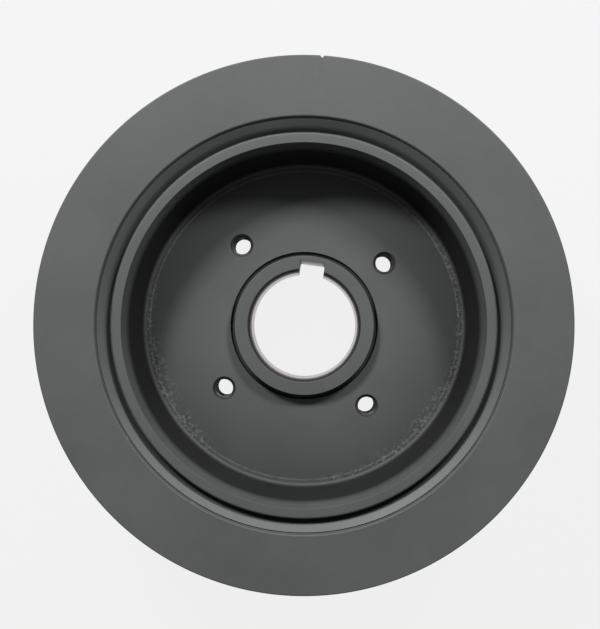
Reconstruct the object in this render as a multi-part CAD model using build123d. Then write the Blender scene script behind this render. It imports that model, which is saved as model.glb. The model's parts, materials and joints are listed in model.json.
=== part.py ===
from build123d import *
import os
from math import radians, tan

# Harmonic balancer for the nose of an engine's crankshaft, in millimetres.
# +Z is the crankshaft's axis and points to the front, where the pulley bolts on.
# Z = 0 is the rear end of the hub's nose, and radii are measured from the axis.

# Driving dimensions: heights along the axis
front_z = 71.0                      # front faces of the hub's rim and of the inertia ring
rear_z = 27.0                       # their rear faces
cup_floor_z = 44.0                  # floor of the cup inside the hub's rim
web_rear_z = 22.2                   # rear face of the web that carries the bolts
boss_height = 5.0                   # of the pilot boss above the cup's floor

# Driving dimensions: radii
ring_r = 98.0                       # outside of the inertia ring
bond_r = 70.0                       # outside of the hub's rim, where the elastomer sits
bond_gap = 5.0                      # thickness of the elastomer between hub and ring
cup_mouth_r = 66.0
cup_floor_r = 61.0
bore_r = 20.32                      # 1.6 in crankshaft nose
boss_r = 26.1                       # pilot for the pulley
journal_r = 29.4                    # runs in the timing cover's oil seal

# Hub: edges, draft and reliefs
rim_edge = 0.8
mouth_edge_r = 64.3                 # where the steep chamfer of the mouth meets the drafted wall
mouth_edge_depth = 4.0
floor_fillet = 1.3
floor_groove = (58.0, 59.8)         # turned groove at the edge of the cup's floor
floor_groove_depth = 0.15
boss_relief_r = 27.9                # turned V relief round the foot of the boss
boss_relief_depth = 1.4
boss_edge = 0.4
bore_chamfer = (1.0, 2.0)           # radial and axial
bore_lead_in = 1.5
seal_lead_in = (1.5, 3.0)           # radial and axial, so that the seal's lip rides up
web_flat_r = 51.0                   # rear of the web is flat as far as here
web_cone_r = 59.0                   # and slopes up to the rim's rear face here
nose_root = 2.0                     # chamfer between the journal and the web

# Keyway through the bore
key_width = 9.525                   # 3/8 in
key_bottom = 24.4                   # flat bottom, from the axis
key_angle = 82.4                    # degrees from +X
key_corner = 0.4

# Tapped holes for the pulley, at the thread's major diameter
bolt_circle_r = 38.35
bolt_count = 4
bolt_first_angle = 37.9
bolt_r = 3.97                       # 5/16 in thread
bolt_mouth_r = 4.32

# Elastomer: its front end has a crest beside the ring and slopes down to a narrow gap beside the hub
end_recess = 1.9                    # below the front face, at the ring
end_crest_r = 74.7
end_crest_depth = 1.4
end_slope_r = 71.6
end_slope_depth = 4.7
end_gap_r = 70.9
end_gap_depth = 7.0
rear_recess = 1.5

# Inertia ring: edges, timing mark and balance drillings
ring_mouth_r = 76.2
ring_front_edge = 0.5
ring_rear_edge = 1.0
mark_angle = 86.1
mark_width = 1.6
mark_depth = 1.0
drill_r = 6.35
drill_depths = (9.0, 14.0, 9.0)     # to the shoulder
drill_first_angle = 196.0
drill_step = 14.0
drill_circle_r = 87.0
drill_point_angle = 118.0

ring_bore_r = bond_r + bond_gap
boss_top_z = cup_floor_z + boss_height


def section(corners):
    """Closed half section in the XZ plane from (radius, height, corner rounding)."""
    points = [(radius, height) for radius, height, rounding in corners]
    roundings = [rounding for radius, height, rounding in corners]
    return make_face(FilletPolyline(*points, radius=roundings, close=True))


def turned(profile):
    """Turns a half section round the crankshaft's axis."""
    return revolve(Plane.XZ * profile, Axis.Z)


def hub_section():
    groove_inner, groove_outer = floor_groove
    groove_middle = (groove_inner + groove_outer) / 2
    lead_radial, lead_axial = seal_lead_in
    chamfer_radial, chamfer_axial = bore_chamfer
    return section([
        # bore
        (bore_r + chamfer_radial, boss_top_z, 0),
        (bore_r, boss_top_z - chamfer_axial, 0),
        (bore_r, bore_lead_in, 0),
        (bore_r + bore_lead_in, 0, 0),
        # nose and rear of the web
        (journal_r - lead_radial, 0, 0),
        (journal_r, lead_axial, 0),
        (journal_r, web_rear_z - nose_root, 0),
        (journal_r + nose_root, web_rear_z, 0),
        (web_flat_r, web_rear_z, 0),
        (web_cone_r, rear_z, 0),
        # rim
        (bond_r, rear_z, 0),
        (bond_r, front_z - rim_edge, 0),
        (bond_r - rim_edge, front_z, 0),
        (cup_mouth_r, front_z, 0),
        (mouth_edge_r, front_z - mouth_edge_depth, 0),
        # cup's wall and floor
        (cup_floor_r, cup_floor_z, floor_fillet),
        (groove_outer, cup_floor_z, 0),
        (groove_middle, cup_floor_z - floor_groove_depth, 0),
        (groove_inner, cup_floor_z, 0),
        (boss_relief_r, cup_floor_z, 0),
        ((boss_r + boss_relief_r) / 2, cup_floor_z - boss_relief_depth, 0),
        # boss
        (boss_r, cup_floor_z, 0),
        (boss_r, boss_top_z - boss_edge, 0),
        (boss_r - boss_edge, boss_top_z, 0),
    ])


def keyway():
    slot = Box(key_bottom, key_width, boss_top_z, align=(Align.MIN, Align.CENTER, Align.MIN))
    outer_corners = slot.edges().filter_by(Axis.Z).group_by(Axis.X)[-1]
    return Rot(Z=key_angle) * fillet(outer_corners, key_corner)


def bolt_hole():
    sink_depth = bolt_mouth_r - bolt_r
    drilled = Cylinder(bolt_r, cup_floor_z, align=(Align.CENTER, Align.CENTER, Align.MIN))
    mouth = Cone(bolt_r, bolt_mouth_r, sink_depth, align=(Align.CENTER, Align.CENTER, Align.MAX))
    return drilled + Pos(Z=cup_floor_z) * mouth


def hub():
    """One casting: rim, web, pilot boss and nose, bored, keyed and tapped."""
    solid = turned(hub_section()) - keyway()
    return solid - PolarLocations(bolt_circle_r, bolt_count, bolt_first_angle) * bolt_hole()


def elastomer_ring():
    return turned(section([
        (bond_r, rear_z + rear_recess, 0),
        (ring_bore_r, rear_z + rear_recess, 0),
        (ring_bore_r, front_z - end_recess, 0),
        (end_crest_r, front_z - end_crest_depth, 0),
        (end_slope_r, front_z - end_slope_depth, 0),
        (end_gap_r, front_z - end_gap_depth, 0),
        (bond_r, front_z - end_gap_depth, 0),
    ]))


def balance_drilling(depth):
    point_height = drill_r / tan(radians(drill_point_angle / 2))
    shank = Cylinder(drill_r, depth, align=(Align.CENTER, Align.CENTER, Align.MIN))
    point = Cone(drill_r, 0, point_height, align=(Align.CENTER, Align.CENTER, Align.MIN))
    return shank + Pos(Z=depth) * point


def timing_mark():
    """V groove along the rim, where the ignition timing is read."""
    outer = ring_r + mark_depth
    tip = (ring_r - mark_depth, 0)
    groove = make_face(Polyline(tip, (outer, mark_width), (outer, -mark_width), close=True))
    return Rot(Z=mark_angle) * extrude(Pos(Z=rear_z) * groove, front_z - rear_z)


def inertia_ring():
    mouth_depth = ring_mouth_r - ring_bore_r
    solid = turned(section([
        (ring_bore_r + ring_rear_edge, rear_z, 0),
        (ring_r - ring_rear_edge, rear_z, 0),
        (ring_r, rear_z + ring_rear_edge, 0),
        (ring_r, front_z - ring_front_edge, 0),
        (ring_r - ring_front_edge, front_z, 0),
        (ring_mouth_r, front_z, 0),
        (ring_bore_r, front_z - mouth_depth, 0),
        (ring_bore_r, rear_z + ring_rear_edge, 0),
    ])) - timing_mark()
    for step, depth in enumerate(drill_depths):
        turn = Rot(Z=drill_first_angle + step * drill_step)
        solid -= turn * Pos(drill_circle_r, 0, rear_z) * balance_drilling(depth)
    return solid


os.makedirs("parts", exist_ok=True)
export_step(hub(), "parts/hub.step")
export_step(elastomer_ring(), "parts/elastomer_ring.step")
export_step(inertia_ring(), "parts/inertia_ring.step")
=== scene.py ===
import json
import math

import bmesh
import bpy
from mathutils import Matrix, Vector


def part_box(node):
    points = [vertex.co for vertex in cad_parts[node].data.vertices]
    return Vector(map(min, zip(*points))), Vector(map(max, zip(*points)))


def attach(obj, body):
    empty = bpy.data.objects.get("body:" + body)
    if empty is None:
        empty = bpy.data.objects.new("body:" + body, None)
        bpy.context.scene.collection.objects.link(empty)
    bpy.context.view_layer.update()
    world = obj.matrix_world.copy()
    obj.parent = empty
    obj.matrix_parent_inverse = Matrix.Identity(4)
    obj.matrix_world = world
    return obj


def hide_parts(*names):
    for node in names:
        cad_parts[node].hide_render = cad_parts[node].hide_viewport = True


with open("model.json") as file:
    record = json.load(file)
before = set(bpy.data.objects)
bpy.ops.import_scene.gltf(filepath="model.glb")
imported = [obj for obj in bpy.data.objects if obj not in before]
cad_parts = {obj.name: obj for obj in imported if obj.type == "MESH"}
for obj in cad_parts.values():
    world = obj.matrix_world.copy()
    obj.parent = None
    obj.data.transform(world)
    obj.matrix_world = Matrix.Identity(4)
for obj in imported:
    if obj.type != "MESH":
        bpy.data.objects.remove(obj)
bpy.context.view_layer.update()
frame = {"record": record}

mm = 0.001
mounts = {mount["name"]: mount for mount in frame["record"]["mounts"]}


def mountSize(name, size):
    # a mount's size, in millimetres
    return mounts[name]["dims"][size]


def mountHeight(name):
    # how far a mount is up the crankshaft's axis, in millimetres
    return mounts[name]["pos_m"][2] / mm


# What the whole part shares, in millimetres
part = {
    "frontZ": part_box("inertia_ring")[1].z / mm,
    "rearZ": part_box("inertia_ring")[0].z / mm,
    "rimR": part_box("hub")[1].x / mm,
    "ringBoreR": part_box("elastomer_ring")[1].x / mm,
    "ringR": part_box("inertia_ring")[1].x / mm,
    "segments": 360,
    "holeSides": 72,
    "past": 2.0,                 # how far a cutter goes past a face
    "smoothAngle": math.radians(32),
}


def selectOnly(piece):
    bpy.ops.object.select_all(action="DESELECT")
    piece.select_set(True)
    bpy.context.view_layer.objects.active = piece


def selectParts(piece, kind, wanted):
    # selects the verts, edges or faces whose corners are all wanted, in edit mode
    bpy.ops.mesh.select_mode(type={"verts": "VERT", "edges": "EDGE", "faces": "FACE"}[kind])
    bpy.ops.mesh.select_all(action="DESELECT")
    mesh = bmesh.from_edit_mesh(piece.data)
    for element in getattr(mesh, kind):
        corners = [element] if kind == "verts" else element.verts
        element.select_set(all(wanted(corner.co / mm) for corner in corners))
    mesh.select_flush_mode()
    bmesh.update_edit_mesh(piece.data)


def onRing(radius, height, slack=0.004):
    # true of a point, in millimetres, on that ring round the axis
    def test(point):
        return abs(math.hypot(point.x, point.y) - radius) < slack and abs(point.z - height) < slack
    return test


def applyPlace(piece):
    selectOnly(piece)
    bpy.ops.object.transform_apply(location=True, rotation=True, scale=True)


def addShape(adder, **settings):
    # adds a primitive with nothing else selected, and moves its place into its mesh
    bpy.ops.object.select_all(action="DESELECT")
    adder(**settings)
    shape = bpy.context.object
    applyPlace(shape)
    return shape


def turnPiece(name, rings, segments):
    # turns a closed half section round the axis: each ring is (radius, height, rounding)
    radius, height, _ = rings[0]
    piece = addShape(bpy.ops.mesh.primitive_circle_add, vertices=segments, radius=radius * mm,
                     location=(0, 0, height * mm))
    piece.name = name
    bpy.ops.object.mode_set(mode="EDIT")
    bpy.ops.mesh.select_all(action="SELECT")
    for nextRadius, nextHeight, _ in rings[1:] + rings[:1]:
        growth = nextRadius / radius
        rise = (nextHeight - height) * mm
        bpy.ops.mesh.extrude_region_move(TRANSFORM_OT_translate={"value": (0, 0, rise)})
        bpy.ops.transform.resize(value=(growth, growth, 1), center_override=(0, 0, nextHeight * mm))
        radius, height = nextRadius, nextHeight
    bpy.ops.mesh.select_all(action="SELECT")
    bpy.ops.mesh.remove_doubles(threshold=0.002 * mm)
    bpy.ops.mesh.normals_make_consistent(inside=False)
    for radius, height, rounding in rings:
        if rounding > 0:
            selectParts(piece, "edges", onRing(radius, height))
            steps = 4 if rounding >= 0.4 else 2   # small roundings have fewer facets
            bpy.ops.mesh.bevel(offset=rounding * mm, segments=steps, affect="EDGES")
    bpy.ops.object.mode_set(mode="OBJECT")
    return piece


def cutAway(piece, cutters):
    # takes the cutters out of the piece, one boolean each
    selectOnly(piece)
    for cutter in cutters:
        cut = piece.modifiers.new("cut", "BOOLEAN")
        cut.operation = "DIFFERENCE"
        cut.solver = "EXACT"
        cut.object = cutter
        bpy.ops.object.modifier_apply(modifier=cut.name)
    for cutter in cutters:
        bpy.data.objects.remove(cutter)


def turnedCopies(piece, count):
    # the piece and its copies, evenly spaced round the axis, each with its own mesh
    found = [piece]
    for step in range(1, count):
        twin = piece.copy()
        twin.data = piece.data.copy()
        bpy.context.collection.objects.link(twin)
        twin.rotation_euler.z = step * math.tau / count
        applyPlace(twin)
        found.append(twin)
    return found


def finishFaces(piece):
    # smooth turned surfaces, crisp flats and edges
    selectOnly(piece)
    bpy.ops.object.shade_smooth_by_angle(angle=part["smoothAngle"])
    flats = piece.modifiers.new("flats", "WEIGHTED_NORMAL")
    flats.keep_sharp = True
    flats.weight = 80
    bpy.ops.object.modifier_apply(modifier=flats.name)


def giveFinishes(piece, materials):
    # the piece's material slots, in this order
    piece.data.materials.clear()
    for material in materials:
        piece.data.materials.append(material)


def addNode(tree, kind, **settings):
    node = tree.nodes.new(kind)
    for name, value in settings.items():
        setattr(node, name, value)
    return node


def feed(tree, socket, value):
    # links a node's output to the socket, or sets a plain value there
    if isinstance(value, bpy.types.NodeSocket):
        tree.links.new(value, socket)
    else:
        socket.default_value = value


def plug(tree, node, **values):
    # feeds a node's inputs by name, with _ for a space
    for name, value in values.items():
        feed(tree, node.inputs[name.replace("_", " ")], value)


def maths(tree, operation, first, second=None, clamp=False):
    node = addNode(tree, "ShaderNodeMath", operation=operation, use_clamp=clamp)
    feed(tree, node.inputs[0], first)
    if second is not None:
        feed(tree, node.inputs[1], second)
    return node.outputs[0]


def times(tree, first, *others):
    product = first
    for value in others:
        product = maths(tree, "MULTIPLY", product, value)
    return product


def blend(tree, first, second, share):
    # the share of the first value and the rest of the second
    return maths(tree, "ADD", times(tree, first, share), times(tree, second, 1 - share))


def remap(tree, value, low, high, toLow=0.0, toHigh=1.0):
    node = addNode(tree, "ShaderNodeMapRange", clamp=True)
    plug(tree, node, Value=value, From_Min=low, From_Max=high, To_Min=toLow, To_Max=toHigh)
    return node.outputs["Result"]


def spread(tree, value, bounds):
    # a value from 0 to 1, spread between two bounds
    return remap(tree, value, 0.0, 1.0, *bounds)


def band(tree, value, low, high, soft):
    # 1 between low and high, fading out over soft
    rising = remap(tree, value, low - soft, low)
    falling = remap(tree, value, high, high + soft, 1.0, 0.0)
    return times(tree, rising, falling)


def mixColour(tree, share, first, second):
    node = addNode(tree, "ShaderNodeMix", data_type="RGBA")
    for socket, value in zip((0, 6, 7), (share, first, second)):
        feed(tree, node.inputs[socket], value)
    return node.outputs[2]


def mixValue(tree, share, first, second):
    node = addNode(tree, "ShaderNodeMix", data_type="FLOAT")
    for socket, value in zip((0, 2, 3), (share, first, second)):
        feed(tree, node.inputs[socket], value)
    return node.outputs[0]


def noise(tree, place, scale, detail=2.0, roughness=0.5):
    node = addNode(tree, "ShaderNodeTexNoise")
    plug(tree, node, Vector=place, Scale=scale, Detail=detail, Roughness=roughness)
    return node.outputs["Fac"]


def newGroup(name, inputs, outputs):
    # an effect with named sockets; an input comes with its starting value, or None for a place
    group = bpy.data.node_groups.new(name, "ShaderNodeTree")
    for socketName, value in inputs.items():
        kind = "NodeSocketVector" if value is None else "NodeSocketFloat"
        socket = group.interface.new_socket(name=socketName, in_out="INPUT", socket_type=kind)
        if value is not None:
            socket.default_value = value
    for socketName in outputs:
        group.interface.new_socket(name=socketName, in_out="OUTPUT", socket_type="NodeSocketFloat")
    start = addNode(group, "NodeGroupInput")
    end = addNode(group, "NodeGroupOutput")
    return group, start.outputs, end.inputs


def makeRoundAxis():
    # how far a point is from the crankshaft's axis, and its height, in millimetres
    group, given, result = newGroup("round the axis", {"Place": None}, ["Radius", "Height"])
    parts = addNode(group, "ShaderNodeSeparateXYZ")
    feed(group, parts.inputs[0], given["Place"])
    squares = [maths(group, "POWER", parts.outputs[side], 2.0) for side in "XY"]
    radius = maths(group, "SQRT", maths(group, "ADD", *squares))
    feed(group, result["Radius"], times(group, radius, 1 / mm))
    feed(group, result["Height"], times(group, parts.outputs["Z"], 1 / mm))
    return group


def makeToolMarks():
    # fine rings that a lathe tool leaves, which fade in and out round the part
    group, given, result = newGroup("tool marks", {
        "Place": None, "Radius": 0.0, "Height": 0.0, "Per Millimetre": 2.0, "Patchiness": 0.5,
    }, ["Marks"])
    along = maths(group, "ADD", given["Radius"], given["Height"])
    rings = addNode(group, "ShaderNodeTexNoise", noise_dimensions="1D")
    plug(group, rings, W=along, Scale=given["Per Millimetre"], Detail=2.0, Roughness=0.6)
    patches = remap(group, noise(group, given["Place"], scale=32.0), 0.35, 0.65)
    kept = maths(group, "SUBTRACT", 1.0, times(group, patches, given["Patchiness"]))
    centred = maths(group, "SUBTRACT", rings.outputs["Fac"], 0.5)
    feed(group, result["Marks"], maths(group, "ADD", times(group, centred, kept), 0.5))
    return group


def makeGrain():
    # the fine tooth of a sprayed or moulded surface, and slow cloudy drift over it
    group, given, result = newGroup("grain", {
        "Place": None, "Tooth Scale": 3000.0, "Cloud Scale": 22.0,
    }, ["Tooth", "Cloud"])
    tooth = noise(group, given["Place"], given["Tooth Scale"], detail=3.0, roughness=0.6)
    cloud = noise(group, given["Place"], given["Cloud Scale"], detail=4.0, roughness=0.6)
    feed(group, result["Tooth"], tooth)
    feed(group, result["Cloud"], remap(group, cloud, 0.3, 0.7))
    return group


def makeEdgeRub():
    # where handling has rubbed the coat on sharp outward edges, in broken stretches
    group, given, result = newGroup("edge rub", {"Place": None, "Amount": 0.5}, ["Rub"])
    pointiness = addNode(group, "ShaderNodeNewGeometry").outputs["Pointiness"]
    sharp = remap(group, pointiness, 0.515, 0.60)
    stretches = noise(group, given["Place"], scale=260.0, detail=4.0, roughness=0.65)
    broken = remap(group, stretches, 0.42, 0.62)
    rub = maths(group, "MULTIPLY", times(group, sharp, broken), given["Amount"], clamp=True)
    feed(group, result["Rub"], rub)
    return group


castSkin = {
    "outerR": 59.9,
    "fullWithin": 1.3,           # of the outer radius
    "fade": 9,                   # degrees, at both ends of a patch
    # angle from +X, half width, both in degrees, and reach inwards
    "patches": [(206, 18, 7.0), (218, 10, 4.5), (320, 16, 6.0), (296, 14, 3.0),
                (345, 12, 3.2), (20, 22, 2.8), (182, 10, 4.0)],
    "patchScale": 170.0,
    "lumpScale": 780.0,
    "lumpDepth": 0.5,
    "contrast": 0.45,
}


def makeCastSkin():
    # patches of cast skin that the lathe has left, round the edge of the cup's floor
    group, given, result = newGroup("cast skin", {"Place": None, "Radius": 0.0}, ["Skin", "Lumps"])
    outer = castSkin["outerR"]
    parts = addNode(group, "ShaderNodeSeparateXYZ")
    feed(group, parts.inputs[0], given["Place"])
    skin = 0.0
    for angle, halfWidth, reach in castSkin["patches"]:
        alongX = times(group, parts.outputs["X"], math.cos(math.radians(angle)) / mm)
        alongY = times(group, parts.outputs["Y"], math.sin(math.radians(angle)) / mm)
        nearness = maths(group, "DIVIDE", maths(group, "ADD", alongX, alongY), given["Radius"])
        side = remap(group, nearness, math.cos(math.radians(halfWidth + castSkin["fade"])),
                     math.cos(math.radians(halfWidth)))
        across = remap(group, given["Radius"], outer - reach, outer - castSkin["fullWithin"])
        skin = maths(group, "MAXIMUM", times(group, side, across), skin)
    inside = remap(group, given["Radius"], outer - 0.3, outer, 1.0, 0.0)
    broken = remap(group, noise(group, given["Place"], castSkin["patchScale"]), 0.32, 0.52)
    feed(group, result["Skin"], times(group, skin, inside, broken))
    feed(group, result["Lumps"], noise(group, given["Place"], castSkin["lumpScale"]))
    return group


effects = {
    "axis": makeRoundAxis(),
    "marks": makeToolMarks(),
    "grain": makeGrain(),
    "rub": makeEdgeRub(),
    "skin": makeCastSkin(),
}


def useEffect(tree, name, **values):
    node = addNode(tree, "ShaderNodeGroup", node_tree=effects[name])
    plug(tree, node, **values)
    return node.outputs


def newMaterial(name):
    material = bpy.data.materials.new(name)
    material.use_nodes = True
    tree = material.node_tree
    place = addNode(tree, "ShaderNodeTexCoord").outputs["Object"]
    return material, tree, tree.nodes["Principled BSDF"], place


def addBump(tree, height, depth, strength, under=None):
    # depth is in millimetres
    node = addNode(tree, "ShaderNodeBump")
    plug(tree, node, Height=height, Distance=depth * mm, Strength=strength)
    if under is not None:
        feed(tree, node.inputs["Normal"], under)
    return node.outputs["Normal"]


greyCoat = {
    "dark": (0.050, 0.053, 0.053, 1),
    "light": (0.072, 0.075, 0.076, 1),
    # a near-black, for the floor's painted shade towards the wall and for the cast skin's dark
    # lumps
    "shadeAndDarkLumps": (0.014, 0.015, 0.014, 1),
    "rubbed": (0.17, 0.17, 0.17, 1),
    "cloudShare": 0.55,          # of the tone; the tooth has the rest
    "roughness": (0.56, 0.64),
    "bumpDepth": 0.02,
    "edgeRub": 0.4,
}
cupMarks = {
    "shadeFromR": 30.0,           # painted shade darkens the floor from here to the inner lighter line
    "shadeShare": 0.62,
    "innerLine": 0.42,           # how strongly each lighter line shows
    "outerLine": 0.12,
    "lineFade": 0.25,
    "chamferShadeShare": 0.85,        # how dark the painted shade on the inner part of the bore's chamfer is
}


def coatedIron(name, rubFromR, cup=None):
    # matt grey coat over turned iron; cup is the hub's shape, for the marks and the painted shade
    # in its cup
    material, tree, shader, place = newMaterial(name)
    axis = useEffect(tree, "axis", Place=place)
    grain = useEffect(tree, "grain", Place=place, Tooth_Scale=2600.0, Cloud_Scale=26.0)
    marks = useEffect(tree, "marks", Place=place, Radius=axis["Radius"], Height=axis["Height"],
                      Per_Millimetre=1.9, Patchiness=0.6)["Marks"]
    amount = remap(tree, axis["Radius"], rubFromR, rubFromR + 0.5, 0.0, greyCoat["edgeRub"])
    rub = useEffect(tree, "rub", Place=place, Amount=amount)["Rub"]
    tone = blend(tree, grain["Cloud"], grain["Tooth"], greyCoat["cloudShare"])
    colour = mixColour(tree, tone, greyCoat["dark"], greyCoat["light"])
    relief = maths(tree, "ADD", times(tree, grain["Tooth"], 0.5), marks)
    normal = addBump(tree, relief, greyCoat["bumpDepth"], 0.5)
    if cup:
        colour, normal = markCup(tree, place, axis, cup, colour, normal)
    plug(tree, shader, Base_Color=mixColour(tree, rub, colour, greyCoat["rubbed"]),
         Roughness=spread(tree, grain["Cloud"], greyCoat["roughness"]), Normal=normal)
    shader.inputs["Specular IOR Level"].default_value = 0.5
    return material


def markCup(tree, place, axis, cup, colour, normal):
    # the coat's changes and the painted shade inside the cup, one over the other
    radius, height, floor = axis["Radius"], axis["Height"], cup["floorZ"]
    inner, outer = cup["lighterLinesR"]
    onFloor = band(tree, height, floor - 0.4, floor + 0.2, 0.1)
    # painted shade: the floor darker towards the wall, where the wall's shadow falls
    inCup = band(tree, height, floor - 0.4, floor + 2.0, 0.1)
    floorEdgeShade = remap(tree, radius, cupMarks["shadeFromR"], inner, 0.0, cupMarks["shadeShare"])
    colour = mixColour(tree, times(tree, inCup, floorEdgeShade), colour, greyCoat["shadeAndDarkLumps"])
    # two thin lighter lines, uneven round the cup
    fade = cupMarks["lineFade"]
    atInner = band(tree, radius, inner - 0.2, inner + 0.2, fade)
    atOuter = band(tree, radius, outer - 0.3, outer + 0.2, fade)
    lines = maths(tree, "ADD", times(tree, atInner, cupMarks["innerLine"]),
                  times(tree, atOuter, cupMarks["outerLine"]))
    uneven = noise(tree, place, scale=420.0, detail=3.0, roughness=0.7)
    lineBreaks = remap(tree, uneven, 0.36, 0.60, 0.35, 1.0)
    colour = mixColour(tree, times(tree, lines, onFloor, lineBreaks), colour, greyCoat["rubbed"])
    # painted shade: the relief round the boss and the inner part of the bore's chamfer take the
    # wall's dark colour
    reliefShade = times(tree, band(tree, radius, cup["bossR"] - 0.5, cup["reliefR"] - 0.2, 0.1),
                     band(tree, height, floor - 2.0, floor - 0.3, 0.2))
    chamferShadeByRadius = remap(tree, radius, cup["boreR"] + 0.65, cup["boreR"] + 0.95,
                        cupMarks["chamferShadeShare"], 0.0)
    inBossHeight = band(tree, height, floor + 1.0, cup["bossTopZ"] - 0.2, 0.1)
    chamferShade = times(tree, inBossHeight, chamferShadeByRadius)
    colour = mixColour(tree, maths(tree, "MAXIMUM", reliefShade, chamferShade), colour, paintedWallShade["dark"])
    # cast skin, with light and dark lumps
    skin = useEffect(tree, "skin", Place=place, Radius=radius)
    rough = times(tree, skin["Skin"], onFloor)
    light = times(tree, remap(tree, skin["Lumps"], 0.54, 0.64), rough, castSkin["contrast"])
    dark = times(tree, remap(tree, skin["Lumps"], 0.46, 0.38), rough, castSkin["contrast"])
    colour = mixColour(tree, light, colour, greyCoat["rubbed"])
    colour = mixColour(tree, dark, colour, greyCoat["shadeAndDarkLumps"])
    lumps = times(tree, maths(tree, "SUBTRACT", skin["Lumps"], 0.5), rough)
    return colour, addBump(tree, lumps, castSkin["lumpDepth"], 0.7, under=normal)


# painted shade: far darker than the coat, these colours stand for the shade on the cup's wall and
# in the recesses
paintedWallShade = {
    "dark": (0.0085, 0.0095, 0.0087, 1),
    "light": (0.0150, 0.0165, 0.0150, 1),
    "roughness": (0.82, 0.92),
    "coatedRoughness": 0.62,
    "bumpDepth": 0.06,
    "footCoat": (0.1, 0.8, 0.6),  # full and gone at these heights above the floor, and its share
}


def cupWallWithPaintedShade(name, fullAbove, goneBelow, footZ):
    # the cup's drafted wall, as cast: the coat's colour at its mouth and its foot, and between them
    # a far darker colour that is painted shade
    material, tree, shader, place = newMaterial(name)
    height = useEffect(tree, "axis", Place=place)["Height"]
    grain = useEffect(tree, "grain", Place=place, Tooth_Scale=900.0, Cloud_Scale=45.0)
    tone = blend(tree, grain["Cloud"], grain["Tooth"], 0.5)
    shadedWall = mixColour(tree, tone, paintedWallShade["dark"], paintedWallShade["light"])
    coat = mixColour(tree, tone, greyCoat["dark"], greyCoat["light"])
    footLow, footHigh, footShare = paintedWallShade["footCoat"]
    atMouth = remap(tree, height, goneBelow, fullAbove)
    atFoot = remap(tree, height, footZ + footLow, footZ + footHigh, footShare, 0.0)
    cover = maths(tree, "MAXIMUM", atMouth, atFoot)
    shadedWallRoughness = spread(tree, grain["Cloud"], paintedWallShade["roughness"])
    plug(tree, shader, Base_Color=mixColour(tree, cover, shadedWall, coat),
         Roughness=mixValue(tree, cover, shadedWallRoughness, paintedWallShade["coatedRoughness"]),
         Normal=addBump(tree, grain["Tooth"], paintedWallShade["bumpDepth"], 0.6))
    shader.inputs["Specular IOR Level"].default_value = 0.2
    return material


bareMetal = {
    "dark": (0.30, 0.285, 0.275, 1),
    "light": (0.66, 0.635, 0.62, 1),
    "roughness": (0.30, 0.44),
    "shadedRoughness": 0.6,
    "bumpDepth": 0.012,
    "raggedness": 3.0,           # how uneven the painted shade's edge is, in millimetres of height
    "shadeFade": 3.5,
    "keywayShade": (8.0, 46.0, 0.1, 0.9),  # two heights, and the painted shade's share at each
}


def bareIron(name, shadedToZ, boreR):
    # bored and broached iron; painted shade: the bore's front end takes the dark coat colour, and
    # the keyway less of it
    material, tree, shader, place = newMaterial(name)
    axis = useEffect(tree, "axis", Place=place)
    grain = useEffect(tree, "grain", Place=place, Tooth_Scale=1500.0, Cloud_Scale=60.0)
    marks = useEffect(tree, "marks", Place=place, Radius=axis["Radius"], Height=axis["Height"],
                      Per_Millimetre=3.4, Patchiness=0.3)["Marks"]
    tone = blend(tree, grain["Cloud"], marks, 0.5)
    metal = mixColour(tree, tone, bareMetal["dark"], bareMetal["light"])
    metalRoughness = remap(tree, tone, 0.2, 0.8, *bareMetal["roughness"])
    unevenness = noise(tree, place, scale=240.0, detail=4.0, roughness=0.6)
    ragged = maths(tree, "ADD", axis["Height"], times(tree, unevenness, bareMetal["raggedness"]))
    inBore = remap(tree, ragged, shadedToZ, shadedToZ + bareMetal["shadeFade"])
    inKeyway = remap(tree, ragged, *bareMetal["keywayShade"])
    outsideBore = remap(tree, axis["Radius"], boreR + 0.05, boreR + 0.1)
    shadedShare = mixValue(tree, outsideBore, inBore, inKeyway)
    plug(tree, shader, Base_Color=mixColour(tree, shadedShare, metal, greyCoat["dark"]),
         Metallic=spread(tree, shadedShare, (1.0, 0.0)),
         Roughness=mixValue(tree, shadedShare, metalRoughness, bareMetal["shadedRoughness"]),
         Normal=addBump(tree, marks, bareMetal["bumpDepth"], 0.6))
    return material


threadTone = {
    "dark": (0.012, 0.012, 0.012, 1),
    "light": (0.034, 0.034, 0.035, 1),
    "roughness": (0.40, 0.55),
    "bumpDepth": 0.015,
}


def darkThreadFinish(name):
    # the tapped holes, far darker than the coat
    material, tree, shader, place = newMaterial(name)
    grain = useEffect(tree, "grain", Place=place, Tooth_Scale=2200.0, Cloud_Scale=90.0)
    colour = mixColour(tree, grain["Cloud"], threadTone["dark"], threadTone["light"])
    plug(tree, shader, Base_Color=colour,
         Roughness=spread(tree, grain["Cloud"], threadTone["roughness"]),
         Normal=addBump(tree, grain["Tooth"], threadTone["bumpDepth"], 0.5))
    return material


rubberFinish = {
    "dark": (0.023, 0.025, 0.025, 1),
    "light": (0.034, 0.036, 0.036, 1),
    "cloudShare": 0.6,
    "roughness": (0.56, 0.62),
    "bumpDepth": 0.02,
}


def coatedRubber(name):
    # moulded rubber, dusted with the same grey coat and glossier than the iron
    material, tree, shader, place = newMaterial(name)
    grain = useEffect(tree, "grain", Place=place, Tooth_Scale=3400.0, Cloud_Scale=40.0)
    tone = blend(tree, grain["Cloud"], grain["Tooth"], rubberFinish["cloudShare"])
    colour = mixColour(tree, tone, rubberFinish["dark"], rubberFinish["light"])
    relief = maths(tree, "ADD", grain["Tooth"], times(tree, grain["Cloud"], 2.0))
    plug(tree, shader, Base_Color=colour,
         Roughness=spread(tree, grain["Cloud"], rubberFinish["roughness"]),
         Normal=addBump(tree, relief, rubberFinish["bumpDepth"], 0.5))
    shader.inputs["Specular IOR Level"].default_value = 0.95
    return material


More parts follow.
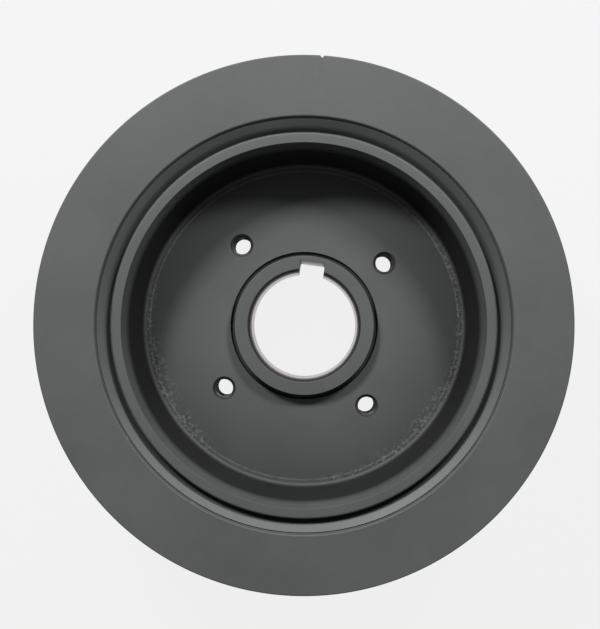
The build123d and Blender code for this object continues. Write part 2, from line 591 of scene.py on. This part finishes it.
hub = {
    "boreR": mountSize("crank_bore", "r_mm"),
    "journalR": mountSize("seal_journal", "r_mm"),
    "bossR": mountSize("pulley_pilot", "r_mm"),
    "boltCircleR": mountSize("pulley_bolts", "pcd_mm") / 2,
    "boltCount": mountSize("pulley_bolts", "count"),
    "boltR": mountSize("pulley_bolts", "hole_r_mm"),
    "floorZ": mountHeight("pulley_bolts"),
    "bossTopZ": mountHeight("crank_bolt_face"),
    "webRearZ": 22.2,
    "webFlatR": 51.0,
    "webConeR": 59.0,
    "noseRoot": 2.0,
    "sealLeadIn": (1.5, 3.0),
    "boreLeadIn": 1.5,
    "boreChamfer": (1.0, 2.0),   # radial and axial
    "rimEdge": 0.8,
    "mouthR": 66.3,
    "mouthEdge": (64.3, 4.0),    # radius, and depth below the front
    "wallCoat": (68.6, 64.0),    # the coat's colour is full above the one height and gone below the other, where the wall's painted shade takes over
    "floorR": 61.0,
    "floorFillet": 1.3,
    "grooveR": (58.0, 59.8),
    "grooveDepth": 0.06,
    "lighterLinesR": (58.3, 60.0),  # two thin lighter lines round the edge of the cup's floor
    "reliefR": 27.8,
    "reliefDepth": 1.4,
    "shadedToZ": 33.0,          # how far down the bore the painted shade reaches
    "keyWidth": 9.525,
    "keyBottom": 24.4,
    "keyAngle": math.radians(82.4),
    "keyCorner": 0.4,
    "boltAngle": math.radians(37.9),
    "boltMouthR": 4.32,
    "threadPitch": 1.411,        # 18 threads to the inch
    "threadR": 3.27,             # crest of the internal thread
    "threadEnd": 0.5,            # below the floor
    "ridgeShare": 0.88,          # of the pitch, at the ridge's root
    "crestShare": 0.22,          # of the root's width, at its crest
    "ridgeSteps": 36,            # per turn
}


def hubRings():
    front, rear, floor, top = part["frontZ"], part["rearZ"], hub["floorZ"], hub["bossTopZ"]
    boreR, bossR, journalR, web = hub["boreR"], hub["bossR"], hub["journalR"], hub["webRearZ"]
    grooveIn, grooveOut = hub["grooveR"]
    leadRadial, leadAxial = hub["sealLeadIn"]
    chamferRadial, chamferAxial = hub["boreChamfer"]
    mouthEdgeR, mouthEdgeDepth = hub["mouthEdge"]
    return [
        (boreR + chamferRadial, top, 0.15),
        (boreR, top - chamferAxial, 0.15),
        (boreR, hub["boreLeadIn"], 0.15),
        (boreR + hub["boreLeadIn"], 0, 0.15),
        (journalR - leadRadial, 0, 0.3),
        (journalR, leadAxial, 0.6),
        (journalR, web, hub["noseRoot"]),
        (hub["webFlatR"], web, 2.5),
        (hub["webConeR"], rear, 1.2),
        (part["rimR"], rear, 0.4),
        (part["rimR"], front, hub["rimEdge"]),
        (hub["mouthR"], front, 0.12),
        (mouthEdgeR, front - mouthEdgeDepth, 1.1),
        (hub["floorR"], floor, hub["floorFillet"]),
        (grooveOut, floor, 0.12),
        ((grooveIn + grooveOut) / 2, floor - hub["grooveDepth"], 0.15),
        (grooveIn, floor, 0.12),
        (hub["reliefR"], floor, 0.12),
        (hub["reliefR"] - 0.4, floor - hub["reliefDepth"], 0.2),
        (bossR, floor - hub["reliefDepth"], 0.2),
        (bossR, top, 0.25),
    ]


def keywayCutter():
    # a block from the axis out to the keyway's bottom, with its outer corners rounded
    bottom, width, top, past = hub["keyBottom"], hub["keyWidth"], hub["bossTopZ"], part["past"]
    cutter = addShape(bpy.ops.mesh.primitive_cube_add, size=1,
                      location=(bottom / 2 * mm, 0, top / 2 * mm),
                      scale=(bottom * mm, width * mm, (top + 2 * past) * mm))
    bpy.ops.object.mode_set(mode="EDIT")
    selectParts(cutter, "edges", lambda point: point.x > bottom - 0.01)
    mesh = bmesh.from_edit_mesh(cutter.data)
    for edge in mesh.edges:
        edge.select_set(edge.select and abs(edge.verts[0].co.z - edge.verts[1].co.z) > mm)
    bpy.ops.mesh.bevel(offset=hub["keyCorner"] * mm, segments=4, affect="EDGES")
    bpy.ops.object.mode_set(mode="OBJECT")
    cutter.rotation_euler.z = hub["keyAngle"]
    applyPlace(cutter)
    return cutter


def boltPlace(height):
    # a place on the first tapped hole's axis
    radius, angle = hub["boltCircleR"] * mm, hub["boltAngle"]
    return (radius * math.cos(angle), radius * math.sin(angle), height * mm)


def countersink():
    # a 45 degree cone that reaches its full mouth at the floor; its corners lie between the drill's
    above, below, mouth, sides = 0.3, 1.3, hub["boltMouthR"], part["holeSides"]
    return addShape(bpy.ops.mesh.primitive_cone_add, vertices=sides, radius1=(mouth - below) * mm,
                    radius2=(mouth + above) * mm, depth=(above + below) * mm,
                    location=boltPlace(hub["floorZ"] + (above - below) / 2),
                    rotation=(0, 0, math.pi / sides))


def boltHoleCutters():
    # a drilled hole and its countersink, four times
    length, above = 40, 10
    drill = addShape(bpy.ops.mesh.primitive_cylinder_add, vertices=part["holeSides"],
                     radius=hub["boltR"] * mm, depth=length * mm,
                     location=boltPlace(hub["floorZ"] + above - length / 2))
    return turnedCopies(drill, hub["boltCount"]) + turnedCopies(countersink(), hub["boltCount"])


def trimBlock(low, high):
    # takes off what lies between two heights round the first tapped hole
    side = 4 * hub["boltR"] * mm
    return addShape(bpy.ops.mesh.primitive_cube_add, size=1, location=boltPlace((low + high) / 2),
                    scale=(side, side, (high - low) * mm))


def threadRidge():
    # the ridge of an internal thread, wound up the hole from the web's rear to just below the floor
    root, crest, pitch = hub["boltR"] + 0.05, hub["threadR"], hub["threadPitch"]
    bottom, floor = hub["webRearZ"], hub["floorZ"]
    turns = math.ceil((floor - bottom) / pitch) + 2
    ridge = addShape(bpy.ops.mesh.primitive_plane_add, size=(root - crest) * mm,
                     location=((root + crest) / 2 * mm, 0, 0), rotation=(math.pi / 2, 0, 0))
    ridge.name = "thread"
    bpy.ops.object.mode_set(mode="EDIT")
    bpy.ops.mesh.select_all(action="SELECT")
    stretch = hub["ridgeShare"] * pitch / (root - crest)
    bpy.ops.transform.resize(value=(1, 1, stretch), center_override=(0, 0, 0))
    selectParts(ridge, "verts", lambda point: point.x < crest + 0.01)
    bpy.ops.transform.resize(value=(1, 1, hub["crestShare"]), center_override=(0, 0, 0))
    bpy.ops.mesh.select_all(action="SELECT")
    bpy.ops.mesh.delete(type="ONLY_FACE")
    bpy.ops.object.mode_set(mode="OBJECT")
    wind = ridge.modifiers.new("wind", "SCREW")
    wind.axis = "Z"
    wind.screw_offset = pitch * mm
    wind.iterations = turns
    wind.steps = hub["ridgeSteps"]
    wind.render_steps = hub["ridgeSteps"]
    bpy.ops.object.modifier_apply(modifier=wind.name)
    ridge.location = boltPlace(bottom - pitch)
    applyPlace(ridge)
    bpy.ops.object.mode_set(mode="EDIT")
    bpy.ops.mesh.select_all(action="SELECT")
    bpy.ops.mesh.remove_doubles(threshold=0.001 * mm)
    bpy.ops.mesh.fill_holes(sides=8)
    bpy.ops.mesh.select_all(action="SELECT")
    bpy.ops.mesh.normals_make_consistent(inside=False)
    bpy.ops.object.mode_set(mode="OBJECT")
    spare = 2 * part["past"]
    below = trimBlock(bottom - spare, bottom)
    above = trimBlock(floor - hub["threadEnd"], floor + spare)
    cutAway(ridge, [below, above, countersink()])
    return ridge


def inTappedHole(point):
    # true of a point, in millimetres, in one of the tapped holes or its countersink
    for step in range(hub["boltCount"]):
        angle = hub["boltAngle"] + step * math.tau / hub["boltCount"]
        x, y = hub["boltCircleR"] * math.cos(angle), hub["boltCircleR"] * math.sin(angle)
        if math.hypot(point.x - x, point.y - y) < hub["boltMouthR"] + 0.02:
            return True
    return False


def placeHubFinishes(piece):
    # the cup's wall has the far darker finish that paints its shade; the bore, the keyway and the
    # tapped holes have their own finishes
    coated, shadedWall, bare, darkThreads = range(4)
    giveFinishes(piece, [
        coatedIron("coated hub iron", part["rimR"] - hub["rimEdge"], cup=hub),
        cupWallWithPaintedShade("dry coated wall", *hub["wallCoat"], hub["floorZ"]),
        bareIron("bare bored iron", hub["shadedToZ"], hub["boreR"]),
        darkThreadFinish("oiled thread"),
    ])
    for face in piece.data.polygons:
        corners = [piece.data.vertices[index].co / mm for index in face.vertices]
        radii = [math.hypot(corner.x, corner.y) for corner in corners]
        inWall = min(radii) > hub["grooveR"][1] + 0.1 and max(radii) < hub["mouthR"] + 0.05
        inCup = min(corner.z for corner in corners) > hub["floorZ"] - 0.01
        inBore = max(radii) < hub["boreR"] + 0.08
        alongKey = math.hypot(face.center.x, face.center.y) / mm < hub["keyBottom"] + 0.1
        upright = abs(face.normal.z) < 0.1
        if inWall and inCup:
            face.material_index = shadedWall
        elif inBore or (alongKey and upright):
            face.material_index = bare
        elif all(inTappedHole(corner) for corner in corners):
            face.material_index = darkThreads
        else:
            face.material_index = coated


def makeHub():
    casting = turnPiece("hub_casting", hubRings(), part["segments"])
    cutAway(casting, [keywayCutter()] + boltHoleCutters())
    threads = turnedCopies(threadRidge(), hub["boltCount"])
    selectOnly(casting)
    for thread in threads:
        thread.select_set(True)
    bpy.ops.object.join()
    placeHubFinishes(casting)
    finishFaces(casting)
    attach(casting, "root")
    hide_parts("hub")
    print("hub:", len(casting.data.polygons), "faces")


makeHub()


rubber = {
    "recess": 1.0,               # of its crest, below the front
    "crestR": 74.95,
    "slopeR": 71.9,
    "slopeDepth": 2.6,
    "gapR": 70.6,
    "gapDepth": 4.5,
    "rearRecess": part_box("elastomer_ring")[0].z / mm - part["rearZ"],
}


def makeRubber():
    front, rear = part["frontZ"], part["rearZ"] + rubber["rearRecess"]
    sleeve = turnPiece("rubber_ring", [
        (part["rimR"], rear, 0),
        (part["ringBoreR"], rear, 0),
        (part["ringBoreR"], front - rubber["recess"], 0),
        (rubber["crestR"], front - rubber["recess"], 0),
        (rubber["slopeR"], front - rubber["slopeDepth"], 1.0),
        (rubber["gapR"], front - rubber["gapDepth"], 0.2),
        (part["rimR"], front - rubber["gapDepth"], 0),
    ], part["segments"])
    giveFinishes(sleeve, [coatedRubber("coated rubber")])
    finishFaces(sleeve)
    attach(sleeve, "root")
    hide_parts("elastomer_ring")
    print("rubber ring:", len(sleeve.data.polygons), "faces")


makeRubber()


ring = {
    "mouthR": 76.2,
    "breakR": 75.85,             # the mouth's edge is broken as far in as here
    "breakDepth": 0.25,
    "stepR": 75.2,               # and a steep step follows
    "stepDepth": 1.45,
    "frontEdge": 0.5,
    "rearEdge": 1.0,
    "markAngle": math.radians(86.1),
    "markWidth": 1.6,
    "markDepth": 1.0,
    "drillR": 6.35,
    "drillDepths": (9.0, 14.0, 9.0),
    "drillAngle": math.radians(196.0),
    "drillStep": math.radians(14.0),
    "drillCircleR": 87.0,
    "drillPoint": math.radians(118.0),
}


def markCutter():
    # a wedge with its tip inwards, which cuts the timing mark along the rim
    depth, width, front, rear = ring["markDepth"], ring["markWidth"], part["frontZ"], part["rearZ"]
    length = front - rear + 2 * part["past"]
    wedge = addShape(bpy.ops.mesh.primitive_cube_add, size=1,
                     location=(part["ringR"] * mm, 0, (front + rear) / 2 * mm),
                     scale=(2 * depth * mm, 2 * width * mm, length * mm))
    bpy.ops.object.mode_set(mode="EDIT")
    selectParts(wedge, "verts", lambda point: point.x < part["ringR"])
    bpy.ops.transform.resize(value=(1, 0, 1), center_override=(0, 0, 0))
    bpy.ops.mesh.select_all(action="SELECT")
    bpy.ops.mesh.remove_doubles(threshold=0.001 * mm)
    bpy.ops.mesh.normals_make_consistent(inside=False)
    bpy.ops.object.mode_set(mode="OBJECT")
    wedge.rotation_euler.z = ring["markAngle"]
    applyPlace(wedge)
    return wedge


def drillCutter(angle, depth):
    # a twist drill's blind hole, from the rear face to its pointed end
    radius, circle = ring["drillR"], ring["drillCircleR"] * mm
    rear, past = part["rearZ"], part["past"]
    pointLength = radius / math.tan(ring["drillPoint"] / 2)
    x, y = circle * math.cos(angle), circle * math.sin(angle)
    drill = addShape(bpy.ops.mesh.primitive_cylinder_add, vertices=part["holeSides"],
                     radius=radius * mm, depth=(depth + past) * mm,
                     location=(x, y, (rear + (depth - past) / 2) * mm))
    bpy.ops.object.mode_set(mode="EDIT")
    selectParts(drill, "faces", lambda corner: corner.z > rear + depth - 0.01)
    bpy.ops.mesh.extrude_region_move(TRANSFORM_OT_translate={"value": (0, 0, pointLength * mm)})
    bpy.ops.transform.resize(value=(0, 0, 1), center_override=(x, y, 0))
    bpy.ops.mesh.select_all(action="SELECT")
    bpy.ops.mesh.remove_doubles(threshold=0.001 * mm)
    bpy.ops.object.mode_set(mode="OBJECT")
    return drill


def makeInertiaRing():
    front, rear = part["frontZ"], part["rearZ"]
    body = turnPiece("outer_ring", [
        (part["ringBoreR"], rear, ring["rearEdge"]),
        (part["ringR"], rear, ring["rearEdge"]),
        (part["ringR"], front, ring["frontEdge"]),
        (ring["mouthR"], front, 0.15),
        (ring["breakR"], front - ring["breakDepth"], 0.15),
        (ring["stepR"], front - ring["stepDepth"], 0),
        (part["ringBoreR"], front - ring["stepDepth"], 0),
    ], part["segments"])
    cutters = [markCutter()]
    for step, depth in enumerate(ring["drillDepths"]):
        cutters.append(drillCutter(ring["drillAngle"] + step * ring["drillStep"], depth))
    cutAway(body, cutters)
    giveFinishes(body, [coatedIron("coated ring iron", part["ringBoreR"])])
    finishFaces(body)
    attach(body, "root")
    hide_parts("inertia_ring")
    print("inertia ring:", len(body.data.polygons), "faces")


makeInertiaRing()


# The studio's lengths are in metres
studio = {
    "floorSize": 8.0,
    "floorGlow": 0.85,
    "floorTone": (0.04, 0.04, 0.04, 1),
    "skyLight": 0.18,
    "skySeen": 0.871,
    "lampWidth": 0.18,           # as a share of its distance
}
lamps = {                        # tilt from upright and turn from +X in degrees, distance and power
    "left lamp": (43.7, 121.7, 1.10, 11.3),
    "right lamp": (45.2, 56.5, 0.80, 4.4),
}


def makeFloor():
    bpy.ops.object.select_all(action="DESELECT")
    bpy.ops.mesh.primitive_plane_add(size=studio["floorSize"], location=(0, 0, -0.05 * mm))
    floor = bpy.context.object
    floor.name = "floor"
    material = bpy.data.materials.new("pale floor")
    material.use_nodes = True
    tree = material.node_tree
    shader = tree.nodes["Principled BSDF"]
    shader.inputs["Base Color"].default_value = studio["floorTone"]
    shader.inputs["Roughness"].default_value = 0.9
    shader.inputs["Specular IOR Level"].default_value = 0.0
    shader.inputs["Emission Color"].default_value = (1, 1, 1, 1)
    shader.inputs["Emission Strength"].default_value = studio["floorGlow"]
    # seen from below, the floor is clear
    clear = addNode(tree, "ShaderNodeBsdfTransparent").outputs[0]
    below = addNode(tree, "ShaderNodeNewGeometry").outputs["Backfacing"]
    mix = addNode(tree, "ShaderNodeMixShader")
    for socket, value in zip(mix.inputs, (below, shader.outputs[0], clear)):
        feed(tree, socket, value)
    feed(tree, tree.nodes["Material Output"].inputs["Surface"], mix.outputs[0])
    floor.data.materials.append(material)


def makeSky():
    world = bpy.data.worlds.new("sky")
    bpy.context.scene.world = world
    world.use_nodes = True
    tree = world.node_tree
    background = tree.nodes["Background"]
    seen = addNode(tree, "ShaderNodeLightPath").outputs["Is Camera Ray"]
    glow = spread(tree, seen, (studio["skyLight"], studio["skySeen"]))
    feed(tree, background.inputs["Strength"], glow)
    background.inputs["Color"].default_value = (1, 1, 1, 1)


def makeLamps():
    # two soft boxes, above the part and to either side of its top
    for name, (tilt, turn, distance, power) in lamps.items():
        light = bpy.data.lights.new(name, "AREA")
        light.shape = "SQUARE"
        light.size = studio["lampWidth"] * distance
        light.energy = power
        lamp = bpy.data.objects.new(name, light)
        bpy.context.collection.objects.link(lamp)
        tilt, turn = math.radians(tilt), math.radians(turn)
        lamp.location = (distance * math.sin(tilt) * math.cos(turn),
                         distance * math.sin(tilt) * math.sin(turn),
                         distance * math.cos(tilt))
        lamp.rotation_euler = lamp.location.to_track_quat("Z", "Y").to_euler()


camera = {
    "height": 0.671,             # above the floor
    "aside": 0.003,              # to the right of the crankshaft's axis
    "lens": 94.95,
    "frameSize": (600, 629),
    "sensor": 36.0,
    "centre": (303.9, 325.5),    # pixel at which the axis meets the front faces
}


def makeCamera():
    width, height = camera["frameSize"]
    across, down = camera["centre"]
    data = bpy.data.cameras.new("camera")
    data.lens = camera["lens"]
    data.sensor_width = camera["sensor"]
    beforeFront = camera["height"] - part["frontZ"] * mm
    asideShift = camera["aside"] / beforeFront * camera["lens"] / camera["sensor"]
    data.shift_x = (width / 2 - across) / max(width, height) - asideShift
    data.shift_y = (down - height / 2) / max(width, height)
    data.clip_end = 20
    eye = bpy.data.objects.new("camera", data)
    bpy.context.collection.objects.link(eye)
    eye.location = (camera["aside"], 0, camera["height"])
    bpy.context.scene.camera = eye


makeFloor()
makeSky()
makeLamps()
makeCamera()
bpy.context.scene.view_settings.view_transform = "Standard"
print("studio ready")
